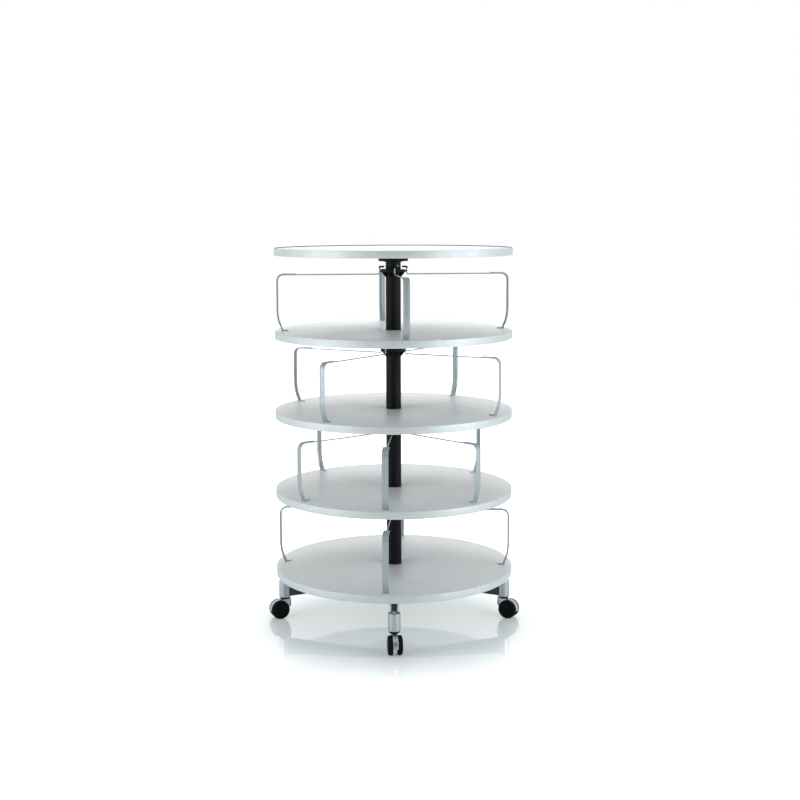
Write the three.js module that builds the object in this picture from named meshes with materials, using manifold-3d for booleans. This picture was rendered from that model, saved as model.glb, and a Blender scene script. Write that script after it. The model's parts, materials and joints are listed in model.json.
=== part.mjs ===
import * as THREE from 'three';
import { mergeVertices } from 'three/addons/utils/BufferGeometryUtils.js';
import Module from 'manifold-3d';

// A rotating media tower. Four round shelves each turn on one fixed column, under a
// fixed round top, and the column stands on a four-armed base with twin-wheel casters.
// Millimetres, +Z up, the floor at zero, the column on the Z axis, the front along -Y.

const wasm = await Module();
wasm.setup();

// Clearances
const seatGap = 0.3; // between pieces that rest on, or stand in, each other
const runningGap = 0.4; // between a shaft and the piece that turns on it
const cutOverrun = 3; // how far a cutting body passes the faces that it cuts
const mergeShare = 0.001; // of the seat gap: corners that lie closer are one

// Boards
const boardRadius = 400; // over the edge band
const boardThickness = 24;
const lowestShelfTop = 189; // floor to the lowest shelf's upper face
const shelfPitch = 267;
const topBoardRise = 277; // highest shelf's upper face to the top's upper face
const tierNames = ['bottom_tier', 'lower_tier', 'upper_tier', 'top_tier'];

// Column, and the hub that each shelf turns on
const tubeRadius = 19;
const tubeWall = 2.5;
const sleeveRadius = 25.5;
const sleeveRise = 209.5; // shelf's upper face to the sleeve's end
const drumRadius = 50;
const drumDepth = 12;
const ringRadius = 43.7; // the ring that the dividers' hooks reach over
const ringBottomRise = 195;
const ringThickness = 8;
const raceRadius = 31; // the flange that a hub's drum turns on
const raceThickness = 3;
const topDrumDepth = 21;
const topDrumRoof = 4.4; // closed part of the top drum over the tube's end

// Clamping collars: a screw through the wall holds each of them on the tube
const clampScrewRadius = 4;
const clampScrewProud = 1.2;
const clampScrewRise = 6.5; // collar's lower end to the screw's axis
const clampScrewTurn = 37; // degrees from the front, towards the right

// Dividers: a bent wire with a flat strip clipped along its outer side
const wireRadius = 2;
const railRise = 188; // shelf's upper face to the middle of the wire's rail
const fingerRise = 213;
const fingerTipReach = 30; // from the column's axis to the hook's free end
const fingerSleeveRadius = 3; // the black sleeve on the hook's finger
const fingerSleeveOverrun = 0.5; // how far that sleeve passes the wire's end
const hookReach = 46;
const hookChamfer = 5;
const uprightReach = 388;
const cornerRadius = 20;
const bowRise = 72; // the upright leans inwards below this height
const bowDepth = 16;
const footBendRadius = 4;
const footLength = 15;
const stripWidth = 21;
const stripThickness = 2;
const stripInsetShare = 0.5; // how deep the wire lies in the strip's clip
const stripRailRun = 40; // how far the strip runs along the rail before the corner
const stripFootRise = 1.5;

// Base hub and arms
const baseHubRadius = 45;
const baseFlangeRadius = 78;
const baseFlangeThickness = 4;
const baseHubHeight = 41.1;
const baseHubChamfer = 3;
const armWidth = 20;
const armRootTopDrop = 3; // base hub's upper end down to the arm's upper edge
const armTipTop = 126;
const armTipFloor = 76;
const armFlatReach = 80; // the arm's lower edge is level up to here
const armBendReach = 103; // the lower edge's two straight runs would cross here
const armBoltReaches = [54, 69];
const boltHeadRadius = 5.8;
const boltHeadHeight = 4;
const armTurns = { front: -90, right: 0, rear: 90, left: 180 };

// Posts at the arms' ends
const postReach = 375;
const postRadius = 20;
const postFloor = 73;
const postTop = 129;
const postRounding = 4;
const capRadius = 13;
const capDepth = 6;
const capDome = 1.2;

// Caster sockets in the posts
const collarRadius = 18;
const collarThickness = 6;
const socketRadius = 9.7;
const socketHeight = 36;

// Casters
const wheelRadius = 31;
const wheelInnerFace = 7.6; // from the middle of the caster
const wheelOuterFace = 25;
const wheelBossRadius = 9; // the wheel's boss runs against the hood
const treadInnerShare = 0.08; // places across the wheel's width
const treadOuterShare = 0.52;
const shoulderShare = 0.9;
const innerRimShare = 0.93; // radii as shares of the wheel's radius
const shoulderRimShare = 0.84;
const axleRadius = 4;
const axleEndWall = 3.3; // wheel's outer wall over the axle's end
const casterTrail = 20; // swivel axis to wheel axis
const hoodRadius = 33;
const hoodThickness = 12;
const hoodRimWidth = 16.4; // the rim reaches over the wheels' inner edges
const hoodRimDepth = 1.2;
const hoodBackReach = 19.6; // swivel axis to the hood's inner edge
const hoodTop = 66;
const hoodChamfer = 2;
const hoodShoulderShare = 1 / 3; // of the hood's radius: level top's end to over the wheel axis
const hoodBackFloor = 38;
const hoodSill = 17;
const hoodCrestTurn = 95; // degrees on the hood's round edge, where it begins
const hoodEndTurn = -10;
const stemRadius = 5.2;
const stemEnd = 102;
const neckRadius = 9;
const casterTurns = { front: 6, right: -29, rear: 6, left: 23 };

// Facets
const boardSides = 48;
const hubSides = 24;
const wheelSides = 24;
const postSides = 20;
const smallSides = 12;
const boltSides = 6;
const wireSides = 5;
const cornerSteps = 2;
const bowSteps = 3;
const armCurveSteps = 5;
const hoodArcSteps = 7;

// Places of the dividers, in degrees from the front towards the right.
// A bare one is a wire without a strip.
const dividerTurns = {
  top_tier: [6, 96, 186, 276],
  upper_tier: [-35, 62, 145, 242],
  lower_tier: [-51, 43.5, 129, 223.5],
  bottom_tier: [-4, 86, 176, 266],
};
const bareDividerTurns = { lower_tier: [-4] };

// Sizes that follow from those above
const tierTops = tierNames.map((name, level) => lowestShelfTop + level * shelfPitch);
const topBoardTop = tierTops[tierTops.length - 1] + topBoardRise;
const topBoardFloor = topBoardTop - boardThickness;
const drumFloorDrop = boardThickness + seatGap + drumDepth;
const raceTopDrop = drumFloorDrop + seatGap;
const hubTop = lowestShelfTop - raceTopDrop - raceThickness;
const hubFloor = hubTop - baseHubHeight;
const flangeTop = hubFloor + baseFlangeThickness;
const boreRadius = tubeRadius + seatGap;
const tubeFloor = flangeTop + seatGap;
const tubeTop = topBoardFloor - seatGap - topDrumRoof - seatGap;
const capFloor = postTop - capDepth;
const socketFloor = postFloor - seatGap - collarThickness;

// Finishes
function finish(color, roughness, metalness) {
  return new THREE.MeshStandardMaterial({ color, roughness, metalness });
}
const whiteLaminate = () => finish(0xeef0ef, 0.45, 0);
const blackPlastic = () => finish(0x17181a, 0.5, 0);
const brightSteel = () => finish(0xc9ccce, 0.3, 1);
const silverPaint = () => finish(0xaeb5b7, 0.4, 0.5);
const darkPaint = () => finish(0x3a3f42, 0.5, 0.3);
const blackTread = () => finish(0x101113, 0.6, 0);

const toRadians = THREE.MathUtils.degToRad;

// Closed bodies

// Leaves only shared positions, and drops the flat triangles that meet on an axis.
function closed(geometry) {
  const bare = geometry.clone();
  bare.deleteAttribute('normal');
  bare.deleteAttribute('uv');
  const merged = mergeVertices(bare, seatGap * mergeShare);
  const kept = [];
  const corners = merged.index.array;
  for (let i = 0; i < corners.length; i += 3) {
    const [a, b, c] = [corners[i], corners[i + 1], corners[i + 2]];
    if (a !== b && b !== c && c !== a) kept.push(a, b, c);
  }
  merged.setIndex(kept);
  return merged;
}

function toSolid(geometry) {
  const body = closed(geometry);
  return new wasm.Manifold(new wasm.Mesh({
    numProp: 3,
    vertProperties: new Float32Array(body.attributes.position.array),
    triVerts: new Uint32Array(body.index.array),
  }));
}

function toGeometry(solid) {
  const mesh = solid.getMesh();
  const geometry = new THREE.BufferGeometry();
  geometry.setAttribute('position', new THREE.BufferAttribute(mesh.vertProperties, 3));
  geometry.setIndex(new THREE.BufferAttribute(mesh.triVerts, 1));
  return geometry;
}

// Turns an outline of [radius, height] points about the Z axis. The points run
// outwards below, up the outside, and back inwards above.
function turned(points, sides) {
  const profile = points.map(([radius, height]) => new THREE.Vector2(radius, height));
  return closed(new THREE.LatheGeometry(profile, sides).rotateX(Math.PI / 2));
}

function turnedRing(points, sides) {
  return turned([...points, points[0]], sides);
}

function roundOutline(radius, sides) {
  const points = [];
  for (let i = 0; i < sides; i++) {
    const turn = (2 * Math.PI * i) / sides;
    points.push(new THREE.Vector2(radius * Math.cos(turn), radius * Math.sin(turn)));
  }
  return points;
}

function roundPlate(radius, boreOfPlate, floor, thickness) {
  const shape = new THREE.Shape(roundOutline(radius, boardSides));
  if (boreOfPlate > 0) shape.holes.push(new THREE.Path(roundOutline(boreOfPlate, hubSides)));
  const plate = new THREE.ExtrudeGeometry(shape, { depth: thickness, bevelEnabled: false });
  return closed(plate.translate(0, 0, floor));
}

// An outline of [x, z] points made into a plate of the given width across Y.
function uprightPlate(points, width) {
  const shape = new THREE.Shape(points.map(([x, z]) => new THREE.Vector2(x, z)));
  const plate = new THREE.ExtrudeGeometry(shape, { depth: width, bevelEnabled: false });
  return closed(plate.rotateX(Math.PI / 2).translate(0, width / 2, 0));
}

function uprightPin(radius, floor, top, sides, x) {
  const pin = new THREE.CylinderGeometry(radius, radius, top - floor, sides);
  return pin.rotateX(Math.PI / 2).translate(x, 0, (floor + top) / 2);
}

// A pin along X, from one distance to another, at the given height.
function levelPin(radius, from, to, height, sides) {
  const pin = new THREE.CylinderGeometry(radius, radius, to - from, sides);
  return pin.rotateZ(Math.PI / 2).translate((from + to) / 2, 0, height);
}

// Points on an arc about [x, z], between two angles in degrees.
function arc(x, z, radius, from, to, steps) {
  const points = [];
  for (let i = 0; i <= steps; i++) {
    const turn = toRadians(from + ((to - from) * i) / steps);
    points.push([x + radius * Math.cos(turn), z + radius * Math.sin(turn)]);
  }
  return points;
}

// Points on a curve from start to end that heads for the middle point at both ends.
function bend(start, middle, end, steps) {
  const curve = new THREE.QuadraticBezierCurve(
    new THREE.Vector2(...start),
    new THREE.Vector2(...middle),
    new THREE.Vector2(...end),
  );
  return curve.getPoints(steps).map((point) => [point.x, point.y]);
}

function named(name, geometry, material) {
  const mesh = new THREE.Mesh(geometry, material);
  mesh.name = name;
  return mesh;
}

function turnedGroup(degrees, ...children) {
  const group = new THREE.Group();
  group.rotation.z = toRadians(degrees);
  group.add(...children);
  return group;
}

// Turns a piece that points along X so that it points to a place on the round.
const towards = (degreesFromFront) => degreesFromFront - 90;

// Boards

function topBoard() {
  const group = new THREE.Group();
  const plate = roundPlate(boardRadius, 0, topBoardFloor, boardThickness);
  group.add(named('top_board', plate, whiteLaminate()));
  group.add(named('top_hub', topHub(), blackPlastic()));
  return group;
}

// The top is held by a drum whose collar is clamped on the tube.
function topHub() {
  const collarFloor = tierTops[tierTops.length - 1] + sleeveRise + seatGap;
  const drumTop = topBoardFloor - seatGap;
  const drumFloor = drumTop - topDrumDepth;
  const boreTop = tubeTop + seatGap;
  const body = turned([
    [0, boreTop],
    [boreRadius, boreTop],
    [boreRadius, collarFloor],
    [sleeveRadius, collarFloor],
    [sleeveRadius, drumFloor],
    [drumRadius, drumFloor],
    [drumRadius, drumTop],
    [0, drumTop],
  ], hubSides);
  return clamped(body, collarFloor);
}

// Sets the clamping screw in a collar's wall.
function clamped(body, collarFloor) {
  const middle = (boreRadius + sleeveRadius) / 2;
  const end = sleeveRadius + clampScrewProud;
  const screw = levelPin(clampScrewRadius, middle, end, collarFloor + clampScrewRise, smallSides);
  screw.rotateZ(toRadians(towards(clampScrewTurn)));
  return toGeometry(toSolid(body).add(toSolid(screw)));
}

// Tiers

function tierHub() {
  const ringTop = ringBottomRise + ringThickness;
  const bore = tubeRadius + runningGap;
  return turnedRing([
    [bore, -drumFloorDrop],
    [drumRadius, -drumFloorDrop],
    [drumRadius, -boardThickness - seatGap],
    [sleeveRadius, -boardThickness - seatGap],
    [sleeveRadius, ringBottomRise],
    [ringRadius, ringBottomRise],
    [ringRadius, ringTop],
    [sleeveRadius, ringTop],
    [sleeveRadius, sleeveRise],
    [bore, sleeveRise],
  ], hubSides);
}

// The wire's middle line, as [distance from the column, height over the shelf].
function wireTop() {
  return [
    [fingerTipReach, fingerRise],
    [hookReach - hookChamfer, fingerRise],
    [hookReach, fingerRise - hookChamfer],
    [hookReach, railRise + hookChamfer],
    [hookReach + hookChamfer, railRise],
  ];
}

function wireCorner() {
  const x = uprightReach - cornerRadius;
  return arc(x, railRise - cornerRadius, cornerRadius, 90, 0, cornerSteps);
}

function wireBow() {
  const floor = wireRadius + seatGap + footBendRadius;
  const bottom = [uprightReach - bowDepth, floor];
  return bend([uprightReach, bowRise], [uprightReach, bowRise / 2], bottom, bowSteps);
}

function wireFoot() {
  const reach = uprightReach - bowDepth - footBendRadius;
  const height = wireRadius + seatGap;
  return [[reach, height], [reach - footLength, height]];
}

// A path whose stations are exactly the given points.
class StationPath extends THREE.Curve {
  constructor(points) {
    super();
    this.points = points;
  }

  station(share) {
    return Math.round(share * (this.points.length - 1));
  }

  getPointAt(share) {
    return this.points[this.station(share)].clone();
  }

  getTangentAt(share) {
    const here = this.station(share);
    const tangent = new THREE.Vector3();
    for (const leg of [here - 1, here]) {
      const [start, end] = [this.points[leg], this.points[leg + 1]];
      if (start && end) tangent.add(end.clone().sub(start).normalize());
    }
    return tangent.normalize();
  }
}

function wire() {
  const line = [...wireTop(), ...wireCorner(), ...wireBow(), ...wireFoot()];
  const path = new StationPath(line.map(([x, z]) => new THREE.Vector3(x, 0, z)));
  const section = new THREE.Shape(roundOutline(wireRadius, wireSides));
  const bent = new THREE.ExtrudeGeometry(section, { steps: line.length - 1, extrudePath: path });
  const sleeveStart = fingerTipReach - fingerSleeveOverrun;
  const sleeveEnd = hookReach - hookChamfer;
  const sleeve = levelPin(fingerSleeveRadius, sleeveStart, sleeveEnd, fingerRise, smallSides);
  return toSolid(bent).add(toSolid(sleeve));
}

// Moves each point of a line to its outer side by the given distance.
function offsetLine(line, distance) {
  return line.map((point, i) => {
    const before = line[Math.max(i - 1, 0)];
    const after = line[Math.min(i + 1, line.length - 1)];
    const along = new THREE.Vector2(after[0] - before[0], after[1] - before[1]).normalize();
    return [point[0] - along.y * distance, point[1] + along.x * distance];
  });
}

// The strip lies on the wire from the rail, over the corner and down to the foot.
function strip() {
  const bow = wireBow();
  const footPoint = bow[bow.length - 1];
  const start = uprightReach - cornerRadius - stripRailRun;
  const line = [[start, railRise], ...wireCorner(), ...bow.slice(0, -1)];
  line.push([footPoint[0], stripFootRise]);
  const inset = wireRadius * stripInsetShare;
  const inner = offsetLine(line, wireRadius - inset);
  const outer = offsetLine(line, wireRadius + stripThickness);
  return uprightPlate([...outer, ...inner.reverse()], stripWidth);
}

function dividerWithStrip() {
  return toGeometry(wire().add(toSolid(strip())));
}

function bareDivider() {
  return toGeometry(wire());
}

function tier(name, top) {
  const group = new THREE.Group();
  group.position.z = top;
  const bore = sleeveRadius + seatGap;
  const board = roundPlate(boardRadius, bore, -boardThickness, boardThickness);
  group.add(named(`${name}_board`, board, whiteLaminate()));
  group.add(named(`${name}_hub`, tierHub(), blackPlastic()));
  const places = dividerTurns[name].map((turn) => [turn, dividerWithStrip]);
  for (const turn of bareDividerTurns[name] ?? []) places.push([turn, bareDivider]);
  places.forEach(([turn, make], i) => {
    const divider = named(`${name}_divider_${i + 1}`, make(), silverPaint());
    group.add(turnedGroup(towards(turn), divider));
  });
  return group;
}

// Column

function columnTube() {
  const inner = tubeRadius - tubeWall;
  return turnedRing([
    [inner, tubeFloor],
    [tubeRadius, tubeFloor],
    [tubeRadius, tubeTop],
    [inner, tubeTop],
  ], hubSides);
}

// The flange that a hub's drum turns on, as the end of its holder's outline.
function raceOutline(top) {
  return [
    [raceRadius, top - raceThickness],
    [raceRadius, top],
    [boreRadius, top],
  ];
}

// A collar is clamped on the tube over a tier, and carries the next tier's hub.
function supportCollar(level) {
  const floor = tierTops[level] + sleeveRise + seatGap;
  const top = tierTops[level + 1] - raceTopDrop;
  const body = turnedRing([
    [boreRadius, floor],
    [sleeveRadius, floor],
    [sleeveRadius, top - raceThickness],
    ...raceOutline(top),
  ], hubSides);
  return clamped(body, floor);
}

// Base

function baseHub() {
  let hub = toSolid(turned([
    [0, hubFloor],
    [baseFlangeRadius, hubFloor],
    [baseFlangeRadius, flangeTop],
    [baseHubRadius, flangeTop],
    [baseHubRadius, hubTop - baseHubChamfer],
    [baseHubRadius - baseHubChamfer, hubTop],
    [raceRadius, hubTop],
    ...raceOutline(hubTop + raceThickness).slice(1),
    [boreRadius, flangeTop],
    [0, flangeTop],
  ], hubSides));
  for (const turn of Object.values(armTurns)) {
    for (const reach of armBoltReaches) {
      const head = uprightPin(boltHeadRadius, hubFloor - boltHeadHeight, flangeTop, boltSides, reach);
      hub = hub.add(toSolid(head.rotateZ(toRadians(turn))));
    }
  }
  return toGeometry(hub);
}

function arm() {
  const root = baseHubRadius + seatGap;
  const rootFloor = flangeTop + seatGap;
  const tipReach = postReach - postRadius;
  const lower = bend(
    [tipReach, armTipFloor],
    [armBendReach, rootFloor],
    [armFlatReach, rootFloor],
    armCurveSteps,
  );
  const plate = uprightPlate([
    [root, hubTop - armRootTopDrop],
    [postReach, armTipTop],
    [postReach, armTipFloor],
    ...lower,
    [root, rootFloor],
  ], armWidth);
  const postSpace = uprightPin(
    postRadius + seatGap,
    armTipFloor - cutOverrun,
    armTipTop + cutOverrun,
    postSides,
    postReach,
  );
  return toGeometry(toSolid(plate).subtract(toSolid(postSpace)));
}

// A post is open below for the caster's socket and above for its cap.
function post() {
  const socketBore = socketRadius + seatGap;
  const boreTop = postFloor + socketHeight + seatGap;
  return turned([
    [0, boreTop],
    [socketBore, boreTop],
    [socketBore, postFloor],
    [postRadius, postFloor],
    ...arc(postRadius - postRounding, postTop - postRounding, postRounding, 0, 90, cornerSteps),
    [capRadius + seatGap, postTop],
    [capRadius + seatGap, capFloor],
    [0, capFloor],
  ], postSides);
}

function cap() {
  return turned([
    [0, capFloor + seatGap],
    [capRadius, capFloor + seatGap],
    [capRadius, postTop],
    [0, postTop + capDome],
  ], postSides);
}

function socket() {
  const bore = stemRadius + runningGap;
  const collarTop = socketFloor + collarThickness;
  return turnedRing([
    [bore, socketFloor],
    [collarRadius, socketFloor],
    [collarRadius, collarTop],
    [socketRadius, collarTop],
    [socketRadius, postFloor + socketHeight],
    [bore, postFloor + socketHeight],
  ], postSides);
}

// Casters

// The hood's line up its back, along its level top and round its crest, moved in by an inset.
function hoodLine(inset) {
  const back = -hoodBackReach + inset;
  const top = hoodTop - inset;
  return [
    [back, hoodBackFloor],
    [back, top - hoodChamfer],
    [back + hoodChamfer, top],
    [casterTrail - hoodRadius * hoodShoulderShare, top],
    ...arc(casterTrail, wheelRadius, hoodRadius - inset, hoodCrestTurn, hoodEndTurn, hoodArcSteps),
  ];
}

// One closed body: the plate between the wheels with its wider rim, the swivel stem and the axle.
function casterBody() {
  const plateLine = [...hoodLine(0), [casterTrail, hoodSill]];
  const plate = toSolid(uprightPlate(plateLine.reverse(), hoodThickness));
  const rimLine = [...hoodLine(0), ...hoodLine(hoodRimDepth).reverse()];
  const rim = toSolid(uprightPlate(rimLine.reverse(), hoodRimWidth));
  const neckFloor = 2 * wheelRadius + runningGap;
  const neckTop = socketFloor - seatGap;
  const neck = toSolid(uprightPin(neckRadius, neckFloor, neckTop, postSides, 0));
  const stem = toSolid(uprightPin(stemRadius, neckFloor, stemEnd, smallSides, 0));
  const axleLength = 2 * (wheelOuterFace - axleEndWall - seatGap);
  const axle = new THREE.CylinderGeometry(axleRadius, axleRadius, axleLength, smallSides);
  axle.translate(casterTrail, 0, wheelRadius);
  return toGeometry(plate.add(rim).add(neck).add(stem).add(toSolid(axle)));
}

// The wheel turns about Y, and its outer side is closed over the axle's end.
function wheel() {
  const width = wheelOuterFace - wheelInnerFace;
  const across = (share) => wheelInnerFace + width * share;
  const bore = axleRadius + runningGap;
  const boreEnd = wheelOuterFace - axleEndWall;
  const bossFace = hoodThickness / 2 + runningGap;
  const profile = [
    [0, boreEnd],
    [bore, boreEnd],
    [bore, bossFace],
    [wheelBossRadius, bossFace],
    [wheelBossRadius, wheelInnerFace],
    [wheelRadius * innerRimShare, wheelInnerFace],
    [wheelRadius, across(treadInnerShare)],
    [wheelRadius, across(treadOuterShare)],
    [wheelRadius * shoulderRimShare, across(shoulderShare)],
    [0, wheelOuterFace],
  ].map(([radius, place]) => new THREE.Vector2(radius, place));
  const body = new THREE.LatheGeometry(profile, wheelSides);
  return closed(body.translate(casterTrail, 0, wheelRadius));
}

function caster(place) {
  const body = named(`caster_${place}_body`, casterBody(), silverPaint());
  const wheelA = named(`caster_${place}_wheel_a`, wheel(), blackTread());
  // The other wheel is the same one turned end for end about the caster's middle.
  const otherWheel = wheel().translate(-casterTrail, 0, 0).rotateZ(Math.PI).translate(casterTrail, 0, 0);
  const wheelB = named(`caster_${place}_wheel_b`, otherWheel, blackTread());
  return turnedGroup(casterTurns[place], body, wheelA, wheelB);
}

function leg(place) {
  const foot = new THREE.Group();
  foot.position.x = postReach;
  foot.add(named(`post_${place}`, post(), silverPaint()));
  foot.add(named(`post_cap_${place}`, cap(), silverPaint()));
  foot.add(named(`caster_socket_${place}`, socket(), blackPlastic()));
  foot.add(caster(place));
  return turnedGroup(armTurns[place], named(`arm_${place}`, arm(), darkPaint()), foot);
}

function base() {
  const group = new THREE.Group();
  group.add(named('base_hub', baseHub(), darkPaint()));
  group.add(...Object.keys(armTurns).map(leg));
  return group;
}

function column() {
  const group = new THREE.Group();
  group.add(named('column_tube', columnTube(), brightSteel()));
  tierNames.slice(0, -1).forEach((name, level) => {
    group.add(named(`${name}_support_collar`, supportCollar(level), blackPlastic()));
  });
  return group;
}

const tower = new THREE.Group();
tower.add(base(), column(), topBoard());
tierNames.forEach((name, level) => tower.add(tier(name, tierTops[level])));

export default tower;
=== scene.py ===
import json
import math
from functools import cache

import bmesh
import bpy
from bpy.props import FloatProperty, FloatVectorProperty, PointerProperty
from mathutils import Matrix, Vector


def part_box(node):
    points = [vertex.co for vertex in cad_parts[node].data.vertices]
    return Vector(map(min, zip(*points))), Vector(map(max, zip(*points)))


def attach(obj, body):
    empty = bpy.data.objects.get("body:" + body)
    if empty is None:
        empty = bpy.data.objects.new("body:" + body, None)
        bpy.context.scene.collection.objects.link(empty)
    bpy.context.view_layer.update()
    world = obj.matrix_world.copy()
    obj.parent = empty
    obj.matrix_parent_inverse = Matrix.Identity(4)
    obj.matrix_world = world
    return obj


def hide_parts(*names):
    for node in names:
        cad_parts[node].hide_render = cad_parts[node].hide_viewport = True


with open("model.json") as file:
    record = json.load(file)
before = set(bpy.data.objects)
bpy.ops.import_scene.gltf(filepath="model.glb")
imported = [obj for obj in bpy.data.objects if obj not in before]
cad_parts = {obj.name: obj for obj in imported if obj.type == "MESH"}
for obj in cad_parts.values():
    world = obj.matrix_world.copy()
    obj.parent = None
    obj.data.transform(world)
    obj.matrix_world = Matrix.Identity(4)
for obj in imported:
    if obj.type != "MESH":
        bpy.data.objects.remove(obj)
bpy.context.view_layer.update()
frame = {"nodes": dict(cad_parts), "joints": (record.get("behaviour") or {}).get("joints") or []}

bl_info = {
    "name": "Rotating Media Tower",
    "version": (1, 0, 0),
    "blender": (4, 5, 0),
    "location": "View3D > Sidebar > Media Tower",
    "description": "Builds a round media tower with turning shelves, wire dividers and casters",
    "category": "Add Mesh",
}

TAU = 2 * math.pi
QUARTER = TAU / 4
MM = 0.001
TIERS = ("bottom_tier", "lower_tier", "upper_tier", "top_tier")
PLACES = ("front", "right", "rear", "left")
SMOOTH_ANGLE = math.radians(32)  # faces that meet at less than this shade as one
ROUND_STEPS = 160  # facets round a board
HUB_STEPS = 96  # facets round a hub, post or wheel
SMALL_STEPS = 48  # facets round a bolt, stem or axle
PLAY = 0.0003  # gap between pieces that sit or slide on each other
WELD = 0.000002  # points of a cut mesh that are closer than this are one
WHITE = (1.0, 1.0, 1.0, 1.0)
FLOOR_REACH = 12.0  # from the tower to the edges of the stage's floor


# The frame's own sizes

def low(node):
    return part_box(node)[0]


def high(node):
    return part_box(node)[1]


def span(node):
    """The heights of a node's lower and upper end."""
    return low(node).z, high(node).z


def radius_of(node):
    return (high(node).x - low(node).x) / 2


def joint(name):
    return next(row for row in frame["joints"] if row["name"] == name)


def corners_of(node):
    return [vertex.co for vertex in frame["nodes"][node].data.vertices]


def azimuth_of(node):
    """The direction, seen from above, in which a divider's node leaves the column."""
    corners = corners_of(node)
    middle = sum(corners, Vector()) / len(corners)
    return math.atan2(middle.y, middle.x)


def width_of(node):
    """How wide a divider's node is, square to its own direction."""
    angle = azimuth_of(node)
    across = Vector((-math.sin(angle), math.cos(angle), 0))
    sides = [corner.dot(across) for corner in corners_of(node)]
    return max(sides) - min(sides)


def shelf_top(tier):
    return high(f"{tier}_board").z


def dividers_of(tier):
    return sorted(name for name in frame["nodes"] if name.startswith(f"{tier}_divider_"))


# Settings

def number(name, description, default, **limits):
    return FloatProperty(name=name, description=description, default=default, **limits)


def length(name, description, default):
    return number(name, description, default, min=0.0, precision=4, unit="LENGTH")


def turn(name, description, default):
    return number(name, description, default, unit="ROTATION")


def share(name, description, default):
    return number(name, description, default, min=0.0, max=1.0, subtype="FACTOR")


def colour(name, description, default):
    return FloatVectorProperty(
        name=name, description=description, default=default,
        size=3, min=0.0, max=1.0, subtype="COLOR",
    )


class MediaTowerBoards(bpy.types.PropertyGroup):
    """Sizes of the round boards."""

    radius: length("Radius", "Radius of a board over its edge band", high("top_board").x)
    band: length("Band thickness", "Thickness of the edge band", 0.002)
    band_round: length("Band rounding", "Rounding of the edge band's corners", 0.0013)
    joint: length("Glue line", "Width and depth of the line between band and laminate", 0.00025)
    # the seal is painted shade: a black ring standing in for the shaded inner wall of the top's rim
    seal: length("Seal", "Thickness of the dark seal inside the top's rim", 0.0014)
    top_rim: length("Top rim", "How far the top's band stands over its laminate", 0.0024)
    arris: length("Arris", "Broken edge of the laminate", 0.0003)
    bore: length("Bore", "Radius of the hole round the column", 0.0262)


class MediaTowerHubs(bpy.types.PropertyGroup):
    """Sizes of the hubs, the column and its collars."""

    tube: length("Tube radius", "Outer radius of the column tube", high("column_tube").x)
    tube_wall: length("Tube wall", "Wall of the column tube", 0.0025)
    sleeve: length("Sleeve radius", "Outer radius of the sleeves and collars", 0.0255)
    drum: length("Drum radius", "Radius of the drum under a board", high("top_tier_hub").x)
    drum_depth: length("Drum depth", "Depth of the drum under a shelf", 0.012)
    ring: length("Ring radius", "Radius of the ring that the dividers' hooks reach over", 0.0437)
    ring_rise: length("Ring height", "Height of the ring's lower face over the shelf", 0.195)
    ring_thickness: length("Ring thickness", "Thickness of that ring", 0.008)
    race: length("Flange radius", "Radius of the flange that a drum turns on", 0.031)
    race_thickness: length("Flange thickness", "Thickness of that flange", 0.003)
    fillet: length("Fillet", "Rounding of the moulded edges", 0.0012)
    rib: length("Rib thickness", "Thickness of the moulded ribs", 0.0022)
    top_drum: length("Top drum depth", "Depth of the drum under the fixed top", 0.021)
    screw: length("Screw radius", "Radius of the screws under a drum", 0.0035)
    clamp: length("Clamping screw", "Radius of the clamping screws", 0.004)
    clamp_rise: length("Clamping screw height", "Clamping screw over a collar's lower end", 0.0065)
    clamp_proud: length("Clamping screw overhang", "How far a clamping screw stands out", 0.0012)
    clamp_turn: turn("Clamping screw turn", "Direction of the clamping screws", math.radians(-53))


class MediaTowerBase(bpy.types.PropertyGroup):
    """Sizes of the base."""

    hub: length("Hub radius", "Radius of the base hub", 0.045)
    flange: length("Flange radius", "Radius of the base hub's flange", high("base_hub").x)
    flange_thickness: length("Flange thickness", "Thickness of that flange", 0.004)
    bolt_head: length("Bolt head", "Height of a bolt's head", 0.004)
    bolt_radius: length("Bolt radius", "Radius of a bolt's head over its corners", 0.0058)
    bolt_washer: length("Bolt washer", "Thickness of a bolt's washer", 0.0008)
    bolt_inner: length("Inner bolts", "Column axis to the inner bolt of an arm", 0.054)
    bolt_outer: length("Outer bolts", "Column axis to the outer bolt of an arm", 0.069)
    arm_edge: length("Arm edge", "Rounding of the arms' edges", 0.0016)
    arm_flat: length("Arm level run", "How far out the arm's lower edge is level", 0.08)
    arm_bend: length("Arm bend", "Where the lower edge's two runs would cross", 0.103)
    arm_tip_floor: length("Arm tip underside", "Height of the arm's lower edge at the post", 0.076)
    arm_tip_top: length("Arm tip top", "Height of the arm's upper edge at the post", 0.126)
    post_rounding: length("Post rounding", "Rounding of a post's upper rim", 0.0042)
    cap_gap: length("Cap groove", "Width of the dark groove round a post's cap", 0.0012)
    # the boss is a real raised boss; its light colour is painted highlight for the light the cap's
    # dome catches
    boss: length("Cap boss", "Radius of the light boss on a post's cap", 0.0068)
    socket: length("Socket radius", "Radius of the socket inside a post", 0.0097)


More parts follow.
